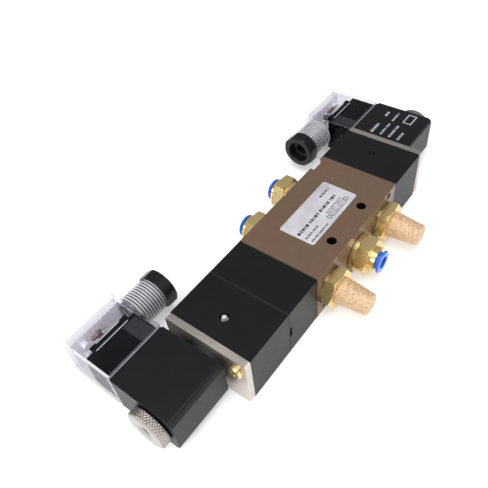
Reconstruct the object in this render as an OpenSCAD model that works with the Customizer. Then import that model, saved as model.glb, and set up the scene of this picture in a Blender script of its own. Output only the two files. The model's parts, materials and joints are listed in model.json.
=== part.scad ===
// Five-port, three-position solenoid valve with a spring-centred spool.
// +X runs along the spool, from the spring housing to the plain end. The underside is z = 0.
// The two solenoid ends are alike: each is drawn outwards from the outer face of its pilot cap.

/* [Body] */
// Length of the body between its end faces
body_l = 69.6; // [69:0.2:74]
// Width across the two port faces
body_w = 41; // [40.4:0.2:43]
// Height, shared by the housing, caps and plates
body_h = 27; // [27:0.2:30]
// Distance of each exhaust port from the middle
exhaust_x = 24; // [23.8:0.1:24.4]
// Distance of each working port from the middle
working_x = 14.6; // [14.4:0.1:14.8]
// Height of the port axes
port_z = 12; // [11.8:0.1:12.6]
// Radius of the threaded ports
port_r = 8.2; // [7.6:0.1:8.2]
// Depth of the threaded ports
port_depth = 10; // [9:0.2:10.2]
// Distance between the two mounting holes
mount_spacing = 26; // [25.6:0.1:26.4]
// Offset of the mounting holes from the middle, towards the exhaust side
mount_y = 14; // [13.6:0.1:14.4]
// Radius of the mounting holes
mount_r = 2.15; // [1.9:0.05:2.25]
// Distance of the two cross holes from the middle, along the body
cross_x = 28; // [27.9:0.1:28.4]
// Height of a cross hole above or below the spool axis
cross_dz = 11; // [10.9:0.1:11.2]
// Radius of the cross holes
cross_r = 1.7; // [1.5:0.05:1.75]

/* [Spool] */
// Radius of the spool bore
bore_r = 8; // [7.6:0.1:8.2]
// Running clearance of the spool, pistons and buttons
run_gap = 0.07; // [0.03:0.01:0.09]
// Travel of the spool each way from its centred place
spool_travel = 3; // [2.6:0.1:3]
// Radius of the piston bores
piston_bore_r = 10.5; // [10:0.1:11]

/* [Ends] */
// Length of the spring housing
housing_l = 20.6; // [20.4:0.2:24]
// Length of each pilot cap
cap_l = 25.2; // [25:0.2:28]
// Thickness of each mounting plate
plate_t = 3.2; // [2:0.2:4]
// Thickness of the gaskets
gasket_t = 0.6; // [0.4:0.1:1]
// Gap between a mounting plate and its coil
coil_gap = 2.2; // [2:0.1:3]
// Length of each coil along the armature tube
coil_l = 29.8; // [28:0.2:34]
// Height of each coil
coil_h = 20.4; // [20:0.2:24]
// Radius of the coil nut
nut_r = 9.4; // [9:0.1:10]
// Travel of each plunger
plunger_travel = 1.8; // [1:0.1:1.8]

/* [Connectors] */
// Height of each connector
conn_h = 20.8; // [20:0.2:24]
// Outer end of the connectors, from the spool axis
conn_y1 = 51.3; // [51.2:0.1:54]
// Wall thickness of the clear housings
conn_wall = 1.5; // [1.2:0.1:1.8]
// Distance of the cable outlet from the spool axis
gland_y = 42.6; // [42.4:0.1:42.8]
// Radius of the cable that fits the grommet
cable_r = 3.25; // [2.5:0.05:3.5]

/* [Fittings] */
// Radius of the air tubes
tube_r = 3; // [2:0.1:3.1]
// Corner radius of the fittings' hexagons
fitting_hex_r = 9.8; // [9.3:0.1:10.2]
// Corner radius of the silencers' hexagons
silencer_hex_r = 10.4; // [9.6:0.1:10.8]
// Distance that a silencer stands out of the body
silencer_out = 20.4; // [18:0.2:22]

/* [Hidden] */

$fn = 64;
// How far a cutting shape runs past the face it opens
over = 1;
// How far a chamfering outline clears the corners that it misses
chamfer_gap = 0.2;
// Gap that keeps two pieces from sharing a face where they only rest together
rest_gap = 0.05;
axis_z = body_h / 2;
half_l = body_l / 2;
half_w = body_w / 2;

// Faces along X, from the body outwards
housing_x1 = -half_l - gasket_t;
housing_x0 = housing_x1 - housing_l;
near_cap_x1 = housing_x0 - gasket_t;
near_face = near_cap_x1 - cap_l;
far_cap_x0 = half_l + gasket_t;
far_face = far_cap_x0 + cap_l;

// Outward distances from the outer face of a pilot cap
coil_u0 = plate_t + coil_gap;
coil_u1 = coil_u0 + coil_l;
coil_mid = (coil_u0 + coil_u1) / 2;

// Spool
groove_r = bore_r + 1.2;
groove_half = [4.5, 2, 3.5];
passage_gap = 0.3;
spool_r = bore_r - run_gap;
seal_r = bore_r - 0.02;
neck_r = 5.2;
rod_r = 4;
seal_w = 1.2;
land_half = 1.5;
land_x = [6, 19.8, 31.4];
hub_r = 5.9;
hub_hole_r = 6.2;
piston_t = 4;
piston_inset = spool_travel + 1;
piston_depth = 2 * piston_inset + piston_t;
piston_seal_w = 1.5;

// Centring spring and its seats
cavity_r = 9.2;
cavity_floor = 4;
seat_r = 9;
seat_t = 1;
seat_hub_r = 5.5;
seat_hub_l = 2.5;

// Assembly screws, at two opposite corners
screw_y = 16;
screw_dz = 7.5;
screw_r = 1.95;
screw_hole_r = 2.1;
screw_depth = 5;
screw_head_r = 3;
screw_head_h = 1.9;

// Armature
flange_r = 9;
flange_t = 2;
tube_r_out = 6.5;
tube_r_in = 5.7;
plunger_l = 19;
core_u0 = plunger_l - flange_t + rest_gap * 2 + plunger_travel + 0.1;
core_l_in = 7;
stud_r = 4;
stud_l = 3;
nut_h = 4.5;
nut_u0 = coil_u1 + 0.2;
spring_hole_r = 2.5;
spring_hole_l = 8;
orifice_r = 0.8;
seal_ring_r = 7.6;
seal_ring_w = 0.5;

// Coil and connector
coil_y0 = -11.5;
coil_y1 = 20.6;
boss_y1 = 21.5;
boss_inset = 0.5;
coil_edge_r = 2.6;
coil_seal_r = 10;
winding_r = 9;
bobbin_r = 7.2;
coil_cheek = 2;
conn_y0 = 22.2;
insert_y1 = 36.5;
insert_top_y1 = 38.5;
board_y = 46.6;
board_t = 1.2;
board_inset = conn_wall + 0.6;
screw3_r = 1.5;
screw3_head_r = 2.9;
screw3_sink = 2;
screw3_y0 = 14;
conn_boss_r = 3.4;
blade_w = 6.3;
blade_t = 0.8;
blade_y = [17, 33];
blade_gap = 11;
ground_dz = 6;

// Cable gland, in distances from the connector wall
gland_r = 8.4;
gland_root_r = 7.8;
gland_bore_r = 6;
spigot_r = 7;
gland_l = 17;
gland_thread = [1.6, 14.6];
gland_rings = 7;
grommet_l = 8;
gland_nut_r = 9.4;
gland_nut_off = [14.9, 21];
gland_cap_r = 5.2;
washer_t = 0.8;

// Manual override, inwards from the outer face of a pilot cap
override_u = -10.7;
override_y = 0.6;
override_hole_r = 1.5;
override_floor = axis_z + 1.5;
override_rim_r = 2.2;
override_rim_h = 1.4;
button_bottom = axis_z + 5.5;
button_h = 6.2;
nib_r = 0.95;
nib_top = body_h - 0.2;

// Push-in fittings
thread_l = 8;
hex_h = 6;
neck_h = 2.5;
fitting_neck_r = 6.1;
p_flange_r = 9.3;
p_flange_h = 2;
flow_r = 2.2;
socket_depth = 12;
collet_room = 9;
seal_drop = 8.9;
seal_h = 1.8;
seal_bite = 0.05;
tube_socket_r = tube_r + 0.1;
collet_bore_r = tube_r + 1.25;
collet_r = tube_r + 1.2;
collet_in_r = tube_r + 0.05;
collet_head_r = 5.6;
collet_head_h = 1.4;
collet_travel = 1;
collet_gap = collet_travel + 0.1;
collet_stem = 5.8;
seat_p = 0.3;
seat_a = 2.9;
seat_b = 6.5;
ab_hex_h = 6;

// Name label
label_l = 38.2;
label_w = 18.4;
label_t = 0.25;
label_r = 1.2;
label_pos = [-0.6, 0.4];

black = "#26252a";
brown = "#7c6553";
nickel = "#c9bdb5";
brass = "#d8b060";
bronze = "#e2b98c";
rubber = "#1c1c1e";
steel = "#a8a8ac";
copper = "#b4673a";
clear = [0.85, 0.87, 0.9, 0.35];
blue = "#2f6fe0";
paper = "#dcd9e0";
board_white = "#e3e0e6";

// ---- shared shapes ----

// Round bar along X on the spool axis
module bar_x(x0, x1, r) {
    translate([x0, 0, axis_z])
        rotate([0, 90, 0])
            cylinder(h = x1 - x0, r = r);
}

// Tube along X on the spool axis
module ring_x(x0, x1, r_out, r_in) {
    difference() {
        bar_x(x0, x1, r_out);
        bar_x(x0 - over, x1 + over, r_in);
    }
}

// Round bar along Y
module bar_y(x, y0, y1, z, r) {
    translate([x, y0, z])
        rotate([-90, 0, 0])
            cylinder(h = y1 - y0, r = r);
}

// Box given by its two corners
module block(low, high) {
    translate(low)
        cube(high - low);
}

// Slab across the whole section of the valve
module section(x0, x1) {
    block([x0, -half_w, 0], [x1, half_w, body_h]);
}

// Turned shape along X; each point is [radius, x]
module turned_x(points) {
    translate([0, 0, axis_z])
        rotate([0, 90, 0])
            rotate_extrude()
                polygon(points);
}

// Rectangle with four round corners, centred
module round_rect(l, w, r) {
    square([l - 2 * r, w], center = true);
    square([l, w - 2 * r], center = true);
    for (sx = [-1, 1], sy = [-1, 1])
        translate([sx * (l / 2 - r), sy * (w / 2 - r)])
            circle(r = r);
}

// Places a shape drawn outwards from the outer face of a pilot cap; side is -1 near, 1 far
module at_end(side) {
    if (side < 0)
        translate([near_face, 0, 0])
            mirror([1, 0, 0])
                children();
    else
        translate([far_face, 0, 0])
            children();
}

// Places a shape drawn along +Z outwards from the mouth of a port; face is -1 or 1
module at_port(x, face) {
    translate([x, face * half_w, port_z])
        rotate([-90 * face, 0, 0])
            children();
}

// The two assembly screw axes
module screw_bars(x0, x1, r) {
    for (s = [-1, 1])
        translate([0, s * screw_y, -s * screw_dz])
            bar_x(x0, x1, r);
}

// Points of one ring of a coil spring's wire
function wire_ring(a, rise, mean_r, wire_r, sides) = [for (i = [0 : sides - 1])
    let (b = 360 * i / sides, r = mean_r + wire_r * cos(b))
    [r * cos(a), r * sin(a), rise + wire_r * sin(b)]];

// Compression spring along +Z between z = 0 and z = l
module spring(l, mean_r, wire_r, turns, steps, sides) {
    count = turns * steps;
    points = [for (k = [0 : count])
        each wire_ring(360 * k / steps, wire_r + (l - 2 * wire_r) * k / count,
            mean_r, wire_r, sides)];
    walls = [for (k = [0 : count - 1], i = [0 : sides - 1])
        let (j = (i + 1) % sides, p = k * sides, q = p + sides)
        [p + i, q + i, q + j, p + j]];
    start = [for (i = [0 : sides - 1]) i];
    end = [for (i = [sides - 1 : -1 : 0]) count * sides + i];
    polyhedron(points, concat(walls, [start, end]));
}

// Hexagon bar with both rims chamfered by a turned outline, along +Z
module hexagon(z0, h, corner_r) {
    flat_r = corner_r * cos(30);
    clear_r = corner_r + 2 * chamfer_gap;
    rim = (clear_r - flat_r) / 2;
    intersection() {
        translate([0, 0, z0])
            cylinder(h = h, r = corner_r, $fn = 6);
        rotate_extrude()
            polygon([[0, z0 - over], [flat_r, z0 - over], [flat_r, z0], [clear_r, z0 + rim],
                [clear_r, z0 + h - rim], [flat_r, z0 + h], [flat_r, z0 + h + over],
                [0, z0 + h + over]]);
    }
}

// ---- body ----

module body_ports() {
    ports = [[0, -1, 0], [-exhaust_x, -1, 2], [exhaust_x, -1, 2],
        [-working_x, 1, 1], [working_x, 1, 1]];
    for (p = ports) {
        at_port(p[0], p[1])
            translate([0, 0, -port_depth])
                cylinder(h = port_depth + over, r = port_r);
        at_port(p[0], p[1])
            translate([0, 0, -half_w])
                cylinder(h = half_w, r = groove_half[p[2]] - passage_gap);
        bar_x(p[0] - groove_half[p[2]], p[0] + groove_half[p[2]], groove_r);
    }
}

module valve_body() {
    head_r = 5;
    head_depth = 2;
    color(brown)
        difference() {
            section(-half_l, half_l);
            bar_x(-half_l - over, half_l + over, bore_r);
            body_ports();
            for (s = [-1, 1]) {
                translate([s * mount_spacing / 2, -mount_y, -over])
                    cylinder(h = body_h + 2 * over, r = mount_r);
                bar_y(s * cross_x, -half_w - over, half_w + over, axis_z + s * cross_dz, cross_r);
                bar_y(s * cross_x, half_w - head_depth, half_w + over,
                    axis_z + s * cross_dz, head_r);
            }
            screw_bars(-half_l - over, -half_l + screw_depth, screw_r);
            screw_bars(half_l - screw_depth, half_l + over, screw_r);
        }
}

module name_label() {
    color(paper)
        translate([label_pos[0], label_pos[1], body_h])
            linear_extrude(label_t)
                round_rect(label_l, label_w, label_r);
}

module gasket(x0, hole_r) {
    difference() {
        section(x0, x0 + gasket_t);
        bar_x(x0 - over, x0 + gasket_t + over, hole_r);
        screw_bars(x0 - over, x0 + gasket_t + over, screw_hole_r);
    }
}

module body_gaskets() {
    color(rubber) {
        gasket(housing_x1, cavity_r);
        gasket(half_l, piston_bore_r);
    }
}

module housing_gasket() {
    color(rubber)
        gasket(near_cap_x1, hub_hole_r + passage_gap);
}

module spring_housing() {
    notch = [1.6, 0.8, 3];
    color(black)
        difference() {
            section(housing_x0, housing_x1);
            bar_x(housing_x0 + cavity_floor, housing_x1 + over, cavity_r);
            bar_x(housing_x0 - over, housing_x1 + over, hub_hole_r);
            screw_bars(housing_x0 - over, housing_x1 + over, screw_hole_r);
            block([housing_x0 - over, -half_w - over, axis_z - notch[2]],
                [housing_x0 + notch[0], -half_w + notch[1], axis_z + notch[2]]);
        }
}

module pilot_cap(side) {
    color(black)
        at_end(side)
            difference() {
                section(-cap_l, 0);
                bar_x(-cap_l - over, -cap_l + piston_depth, piston_bore_r);
                bar_x(-flange_t, over, flange_r);
                ring_x(-flange_t - 2 * seal_ring_w, -flange_t + over,
                    seal_ring_r + seal_ring_w, seal_ring_r - seal_ring_w);
                bar_x(-cap_l, 0, orifice_r);
                screw_bars(-cap_l - over, over, screw_hole_r);
                translate([override_u, override_y, override_floor])
                    cylinder(h = body_h, r = override_hole_r);
                if (side < 0)
                    translate([override_u, override_y, body_h - override_rim_h])
                        cylinder(h = body_h, r = override_rim_r);
            }
}

module pilot_cap_near() {
    pilot_cap(-1);
}

module pilot_cap_far() {
    pilot_cap(1);
}

// ---- spool group ----

near_rod_end = near_cap_x1 - piston_inset - piston_t;
far_rod_end = far_cap_x0 + piston_inset + piston_t;

module spool() {
    shoulder_r = 6;
    relief_half = 3;
    relief_x = [(land_x[0] + land_x[1]) / 2, (land_x[1] + land_x[2]) / 2];
    color(steel)
        difference() {
            union() {
                bar_x(-land_x[2], land_x[2], neck_r);
                bar_x(near_rod_end, far_rod_end, rod_r);
                bar_x(-half_l + rest_gap, half_l - rest_gap, shoulder_r);
                for (s = [-1, 1], x = land_x)
                    bar_x(s * x - land_half, s * x + land_half, spool_r);
            }
            for (s = [-1, 1], x = land_x)
                ring_x(s * x - seal_w / 2, s * x + seal_w / 2, bore_r, bore_r - seal_w);
            for (s = [-1, 1], x = relief_x)
                ring_x(s * x - relief_half, s * x + relief_half, bore_r, neck_r);
        }
}

module spool_seals() {
    color(rubber)
        for (s = [-1, 1], x = land_x)
            ring_x(s * x - seal_w / 2, s * x + seal_w / 2, seal_r, bore_r - seal_w);
}

// Piston disc with its seal groove and a hub that reaches back to hub_x
module piston(side, x_in, hub_x) {
    x0 = side < 0 ? x_in - piston_t : x_in;
    mid = x0 + piston_t / 2;
    color(nickel)
        difference() {
            union() {
                bar_x(x0, x0 + piston_t, piston_bore_r - run_gap);
                bar_x(min(hub_x, mid), max(hub_x, mid), hub_r);
            }
            bar_x(min(hub_x, x0) - over, max(hub_x, x0 + piston_t) + over, rod_r);
            ring_x(mid - piston_seal_w / 2, mid + piston_seal_w / 2,
                piston_bore_r + over, piston_bore_r - seal_w);
        }
}

module piston_near() {
    piston(-1, near_cap_x1 - piston_inset, housing_x0 + cavity_floor - rest_gap);
}

module piston_far() {
    piston(1, far_cap_x0 + piston_inset, half_l);
}

module piston_seals() {
    mids = [near_rod_end + piston_t / 2, far_rod_end - piston_t / 2];
    color(rubber)
        for (x = mids)
            ring_x(x - piston_seal_w / 2, x + piston_seal_w / 2,
                piston_bore_r - 0.02, piston_bore_r - seal_w);
}

module centring_spring() {
    x0 = housing_x0 + cavity_floor + seat_t;
    x1 = -half_l - seat_t;
    color(steel)
        translate([x0, 0, axis_z])
            rotate([0, 90, 0])
                spring(x1 - x0, mean_r = 7, wire_r = 0.8, turns = 5, steps = 20, sides = 8);
}

module spring_seats() {
    inner_r = rod_r + 0.15;
    x0 = housing_x0 + cavity_floor;
    x1 = -half_l;
    color(steel) {
        turned_x([[inner_r, x0], [seat_r, x0], [seat_r, x0 + seat_t], [seat_hub_r, x0 + seat_t],
            [seat_hub_r, x0 + seat_t + seat_hub_l], [inner_r, x0 + seat_t + seat_hub_l]]);
        turned_x([[inner_r, x1], [seat_r, x1], [seat_r, x1 - seat_t], [seat_hub_r, x1 - seat_t],
            [seat_hub_r, x1 - seat_t - seat_hub_l], [inner_r, x1 - seat_t - seat_hub_l]]);
    }
}

// ---- end plates, screws and armatures ----

// One pan-head screw along the outward axis of an end, with a cross recess
module long_screw(length) {
    slot_l = 3.2;
    slot_w = 0.7;
    slot_d = 1;
    round_h = 0.7;
    top = plate_t + screw_head_h;
    difference() {
        union() {
            bar_x(-length, plate_t + screw_head_h / 2, screw_r);
            turned_x([[0, plate_t], [screw_head_r, plate_t], [screw_head_r, top - round_h],
                [screw_head_r - round_h, top], [0, top]]);
        }
        for (turn = [0, 90])
            translate([top - slot_d, 0, axis_z])
                rotate([turn, 0, 0])
                    translate([0, -slot_l / 2, -slot_w / 2])
                        cube([2 * slot_d, slot_l, slot_w]);
    }
}

module assembly_screws() {
    color(brass)
        for (side = [-1, 1], s = [-1, 1])
            at_end(side)
                translate([0, s * screw_y, -s * screw_dz])
                    long_screw((side < 0 ? -half_l - near_face : far_face - half_l)
                        + screw_depth);
}

module mounting_plate(side) {
    color(nickel)
        at_end(side)
            difference() {
                translate([0, 0, axis_z])
                    rotate([90, 0, 90])
                        linear_extrude(plate_t)
                            round_rect(body_w, body_h, 1);
                bar_x(-over, plate_t + over, tube_r_out + rest_gap);
                screw_bars(-over, plate_t + over, screw_hole_r);
            }
}

module mounting_plate_near() {
    mounting_plate(-1);
}

module mounting_plate_far() {
    mounting_plate(1);
}

// Thin tubes closed by the fixed cores, held by their flanges under the mounting plates
module armature_tubes() {
    u1 = core_u0 + core_l_in;
    color(steel)
        for (side = [-1, 1])
            at_end(side)
                turned_x([[tube_r_in, -flange_t], [flange_r, -flange_t], [flange_r, 0],
                    [tube_r_out, 0], [tube_r_out, u1], [tube_r_in, u1]]);
}

module fixed_cores() {
    chamfer = 0.6;
    u1 = core_u0 + core_l_in;
    color(steel)
        for (side = [-1, 1])
            at_end(side)
                turned_x([[0, core_u0], [tube_r_in, core_u0], [tube_r_in, u1],
                    [tube_r_out, u1], [tube_r_out, coil_u1 - chamfer], [stud_r, coil_u1],
                    [stud_r, nut_u0 + stud_l], [0, nut_u0 + stud_l]]);
}

module tube_seals() {
    color(rubber)
        for (side = [-1, 1])
            at_end(side)
                ring_x(-flange_t - 2 * seal_ring_w, -flange_t,
                    seal_ring_r + seal_ring_w, seal_ring_r - seal_ring_w);
}

module plunger(side) {
    u0 = -flange_t + 2 * rest_gap;
    color(steel)
        at_end(side)
            difference() {
                bar_x(u0, u0 + plunger_l, tube_r_in - run_gap);
                bar_x(u0 + plunger_l - spring_hole_l, u0 + plunger_l + over, spring_hole_r);
            }
}

module plunger_near() {
    plunger(-1);
}

module plunger_far() {
    plunger(1);
}

module plunger_spring(side) {
    u0 = -flange_t + 2 * rest_gap + plunger_l - spring_hole_l;
    color(steel)
        at_end(side)
            translate([u0, 0, axis_z])
                rotate([0, 90, 0])
                    spring(core_u0 - u0, mean_r = 2, wire_r = 0.3, turns = 6, steps = 14,
                        sides = 6);
}

module plunger_spring_near() {
    plunger_spring(-1);
}

module plunger_spring_far() {
    plunger_spring(1);
}

// ---- coils ----

// The three flat blades that carry the current from a coil to its connector
module blades() {
    w = blade_w / 2;
    t = blade_t / 2;
    for (s = [-1, 1])
        block([coil_mid + s * blade_gap / 2 - t, blade_y[0], axis_z - w],
            [coil_mid + s * blade_gap / 2 + t, blade_y[1], axis_z + w]);
    block([coil_mid - w, blade_y[0], axis_z + ground_dz - t],
        [coil_mid + w, blade_y[1], axis_z + ground_dz + t]);
}

module coil_seals() {
    color(rubber)
        for (side = [-1, 1])
            at_end(side)
                ring_x(plate_t, coil_u0, coil_seal_r, tube_r_out + rest_gap);
}

module coil_outline() {
    translate([0, axis_z]) {
        translate([coil_y0 + coil_edge_r, -coil_h / 2])
            square([coil_y1 - coil_y0 - coil_edge_r, coil_h]);
        translate([coil_y0, -coil_h / 2 + coil_edge_r])
            square([coil_edge_r, coil_h - 2 * coil_edge_r]);
        for (s = [-1, 1])
            translate([coil_y0 + coil_edge_r, s * (coil_h / 2 - coil_edge_r)])
                circle(r = coil_edge_r);
    }
}

module coil(side) {
    color(black)
        at_end(side)
            difference() {
                union() {
                    translate([coil_u0, 0, 0])
                        rotate([90, 0, 90])
                            linear_extrude(coil_l)
                                coil_outline();
                    block([coil_u0 + boss_inset, coil_y1 - over,
                            axis_z - coil_h / 2 + boss_inset],
                        [coil_u1 - boss_inset, boss_y1, axis_z + coil_h / 2 - boss_inset]);
                }
                bar_x(coil_u0 - over, coil_u1 + over, tube_r_out + rest_gap);
                bar_x(coil_u0 + coil_cheek, coil_u1 - coil_cheek, winding_r);
                blades();
                bar_y(coil_mid, screw3_y0, boss_y1 + over, axis_z, screw3_r);
            }
}

module coil_near() {
    coil(-1);
}

module coil_far() {
    coil(1);
}

module coil_bobbins() {
    color(paper)
        for (side = [-1, 1])
            at_end(side)
                ring_x(coil_u0 + coil_cheek, coil_u1 - coil_cheek, bobbin_r,
                    tube_r_out + rest_gap);
}

module coil_windings() {
    color(copper)
        for (side = [-1, 1])
            at_end(side)
                ring_x(coil_u0 + coil_cheek, coil_u1 - coil_cheek, winding_r, bobbin_r);
}

module coil_nut(side) {
    chamfer = 0.5;
    window_r = 2.5;
    u1 = nut_u0 + nut_h;
    color(nickel)
        at_end(side)
            turned_x([[stud_r, nut_u0], [nut_r - chamfer, nut_u0], [nut_r, nut_u0 + chamfer],
                [nut_r, u1 - chamfer], [nut_r - chamfer, u1], [window_r, u1],
                [window_r, nut_u0 + stud_l], [stud_r, nut_u0 + stud_l]]);
}

module coil_nut_near() {
    coil_nut(-1);
}

module coil_nut_far() {
    coil_nut(1);
}

module coil_terminals() {
    color(nickel)
        for (side = [-1, 1])
            at_end(side)
                blades();
}

// ---- connectors ----

module connector_gaskets() {
    inset = 0.6;
    color(paper)
        for (side = [-1, 1])
            at_end(side)
                difference() {
                    block([coil_u0 + inset, boss_y1, axis_z - coil_h / 2 + inset],
                        [coil_u1 - inset, conn_y0, axis_z + coil_h / 2 - inset]);
                    blades();
                    bar_y(coil_mid, screw3_y0, conn_y0 + over, axis_z, screw3_r);
                }
}

// Inner room of a clear housing, shrunk on every wall by gap
module connector_room(y1, gap) {
    wall = conn_wall + gap;
    block([coil_u0 + wall, conn_y0, axis_z - conn_h / 2 + wall],
        [coil_u1 - wall, y1, axis_z + conn_h / 2 - wall]);
}

module connector_insert(side) {
    top_inset = 3;
    color(black)
        at_end(side)
            difference() {
                union() {
                    connector_room(insert_y1, rest_gap);
                    connector_room(insert_top_y1, top_inset);
                }
                blades();
                bar_y(coil_mid, conn_y0 - over, conn_y1, axis_z, screw3_r);
            }
}

module connector_insert_near() {
    connector_insert(-1);
}

module connector_insert_far() {
    connector_insert(1);
}

// Cable outlet on a clear housing: a ringed tube towards the middle of the valve
module gland_tube(side) {
    collar_l = 0.8;
    pitch = (gland_thread[1] - gland_thread[0]) / gland_rings;
    crest = pitch / 4;
    rings = [for (i = [0 : gland_rings - 1])
        let (a = gland_thread[0] + i * pitch)
        each [[gland_root_r, a], [gland_r, a + crest], [gland_r, a + 2 * crest],
            [gland_root_r, a + 3 * crest]]];
    outline = concat([[gland_bore_r, -conn_wall], [spigot_r, -conn_wall], [spigot_r, 0],
        [gland_r, 0], [gland_r, collar_l], [gland_root_r, collar_l]], rings,
        [[gland_root_r, gland_l], [gland_bore_r, gland_l]]);
    color(clear)
        at_end(side)
            at_gland()
                rotate_extrude()
                    polygon(outline);
}

module gland_tube_near() {
    gland_tube(-1);
}

module gland_tube_far() {
    gland_tube(1);
}

// Places a shape drawn along +Z out of the connector wall, towards the middle of the valve
module at_gland() {
    translate([coil_u0, gland_y, axis_z])
        rotate([0, -90, 0])
            children();
}

module connector_housing(side) {
    color(clear)
        at_end(side)
            difference() {
                union() {
                    difference() {
                        block([coil_u0, conn_y0, axis_z - conn_h / 2],
                            [coil_u1, conn_y1, axis_z + conn_h / 2]);
                        connector_room(conn_y1 - conn_wall, 0);
                        at_gland()
                            translate([0, 0, -2 * conn_wall])
                                cylinder(h = 3 * conn_wall, r = spigot_r);
                    }
                    bar_y(coil_mid, insert_top_y1, conn_y1, axis_z, conn_boss_r);
                }
                bar_y(coil_mid, insert_top_y1 - over, conn_y1 + over, axis_z, screw3_r);
                bar_y(coil_mid, conn_y1 - screw3_sink, conn_y1 + over, axis_z,
                    screw3_head_r + passage_gap);
            }
}

module connector_housing_near() {
    connector_housing(-1);
}

module connector_housing_far() {
    connector_housing(1);
}

// Small boards, each with a lamp and a resistor on its inner face
module circuit_boards() {
    lamp_r = 1.5;
    lamp_h = 3;
    lamp_at = [8, 4];
    resistor_low = [6, -1.6, -6];
    resistor_high = [9, 0, -2];
    base = [coil_mid, board_y, axis_z];
    color(board_white)
        for (side = [-1, 1])
            at_end(side)
                difference() {
                    union() {
                        block([coil_u0 + board_inset, board_y,
                                axis_z - conn_h / 2 + board_inset],
                            [coil_u1 - board_inset, board_y + board_t,
                                axis_z + conn_h / 2 - board_inset]);
                        bar_y(coil_mid + lamp_at[0], board_y - lamp_h, board_y,
                            axis_z + lamp_at[1], lamp_r);
                        block(base + resistor_low, base + resistor_high);
                    }
                    bar_y(coil_mid, insert_top_y1, conn_y1, axis_z, conn_boss_r + rest_gap);
                }
}

module connector_screws() {
    head_y0 = conn_y1 - screw3_sink;
    head_h = 1.7;
    slot = [0.8, 0.8];
    color(nickel)
        for (side = [-1, 1])
            at_end(side)
                difference() {
                    union() {
                        bar_y(coil_mid, screw3_y0, head_y0 + head_h / 2, axis_z, screw3_r);
                        bar_y(coil_mid, head_y0, head_y0 + head_h, axis_z, screw3_head_r);
                    }
                    block([coil_mid - screw3_head_r - over, head_y0 + head_h - slot[0],
                            axis_z - slot[1] / 2],
                        [coil_mid + screw3_head_r + over, head_y0 + head_h + over,
                            axis_z + slot[1] / 2]);
                }
}

module gland_grommets() {
    color(rubber)
        for (side = [-1, 1])
            at_end(side)
                at_gland()
                    rotate_extrude()
                        translate([cable_r, gland_l - grommet_l])
                            square([gland_bore_r - cable_r, grommet_l]);
}

module gland_washers() {
    color(black)
        for (side = [-1, 1])
            at_end(side)
                at_gland()
                    rotate_extrude()
                        translate([gland_cap_r, gland_l])
                            square([gland_root_r - gland_cap_r, washer_t]);
}

// Eight-sided nut that closes the cable outlet
module gland_nut(side) {
    chamfer = 0.8;
    clear_r = gland_nut_r + chamfer_gap;
    off = gland_nut_off;
    color(black)
        at_end(side)
            at_gland()
                difference() {
                    intersection() {
                        translate([0, 0, off[0]])
                            rotate([0, 0, 22.5])
                                cylinder(h = off[1] - off[0], r = gland_nut_r, $fn = 8);
                        rotate_extrude()
                            polygon([[0, off[0] - over], [clear_r, off[0] - over],
                                [clear_r, off[1] - 2.4 * chamfer],
                                [clear_r - 3 * chamfer, off[1] + 0.6 * chamfer],
                                [0, off[1] + 0.6 * chamfer]]);
                    }
                    translate([0, 0, off[0] - over])
                        cylinder(h = gland_l + washer_t - off[0] + over, r = gland_root_r);
                    translate([0, 0, off[0]])
                        cylinder(h = off[1], r = gland_cap_r);
                }
}

module gland_nut_near() {
    gland_nut(-1);
}

module gland_nut_far() {
    gland_nut(1);
}

// ---- manual override ----

module override_button(side) {
    color(side < 0 ? "white" : black)
        at_end(side)
            translate([override_u, override_y, 0]) {
                translate([0, 0, button_bottom])
                    cylinder(h = button_h, r = override_hole_r - run_gap);
                translate([0, 0, button_bottom])
                    cylinder(h = nib_top - button_bottom, r = nib_r);
            }
}

module override_button_near() {
    override_button(-1);
}

module override_button_far() {
    override_button(1);
}

module override_spring(side) {
    color(steel)
        at_end(side)
            translate([override_u, override_y, override_floor])
                spring(button_bottom - override_floor, mean_r = 1.1, wire_r = 0.2, turns = 4,
                    steps = 12, sides = 6);
}

module override_spring_near() {
    override_spring(-1);
}

module override_spring_far() {
    override_spring(1);
}

// ---- push-in fittings ----

function neck_top(seat, flange, hex) = seat + flange + hex + neck_h;

// Brass fitting drawn outwards from a port; seat is how far its shoulder stands off the body
module fitting(seat, flange, hex) {
    top = neck_top(seat, flange, hex);
    color(brass)
        difference() {
            union() {
                translate([0, 0, -thread_l])
                    cylinder(h = thread_l + seat, r = port_r - rest_gap);
                if (flange > 0)
                    translate([0, 0, seat])
                        cylinder(h = flange, r = p_flange_r);
                hexagon(seat + flange, hex, fitting_hex_r);
                translate([0, 0, seat])
                    cylinder(h = top - seat, r = fitting_neck_r);
            }
            translate([0, 0, -thread_l - over])
                cylinder(h = thread_l + top, r = flow_r);
            translate([0, 0, top - socket_depth])
                cylinder(h = socket_depth + over, r = tube_socket_r);
            translate([0, 0, top - collet_room])
                cylinder(h = collet_room + over, r = collet_bore_r);
        }
}

module fitting_p() {
    at_port(0, -1)
        fitting(seat_p, p_flange_h, hex_h);
}

module fitting_a() {
    at_port(-working_x, 1)
        fitting(seat_a, 0, ab_hex_h);
}

module fitting_b() {
    at_port(working_x, 1)
        fitting(seat_b, 0, ab_hex_h);
}

// Release collet that slides in the mouth of a fitting
module collet(top) {
    head = top + collet_gap;
    round_h = 0.5;
    color(blue)
        rotate_extrude()
            polygon([[collet_in_r, top - collet_stem], [collet_r, top - collet_stem],
                [collet_r, head], [collet_head_r - round_h, head], [collet_head_r, head + round_h],
                [collet_head_r, head + collet_head_h - round_h],
                [collet_head_r - round_h, head + collet_head_h],
                [collet_in_r, head + collet_head_h]]);
}

module collet_p() {
    at_port(0, -1)
        collet(neck_top(seat_p, p_flange_h, hex_h));
}

module collet_a() {
    at_port(-working_x, 1)
        collet(neck_top(seat_a, 0, ab_hex_h));
}

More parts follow.
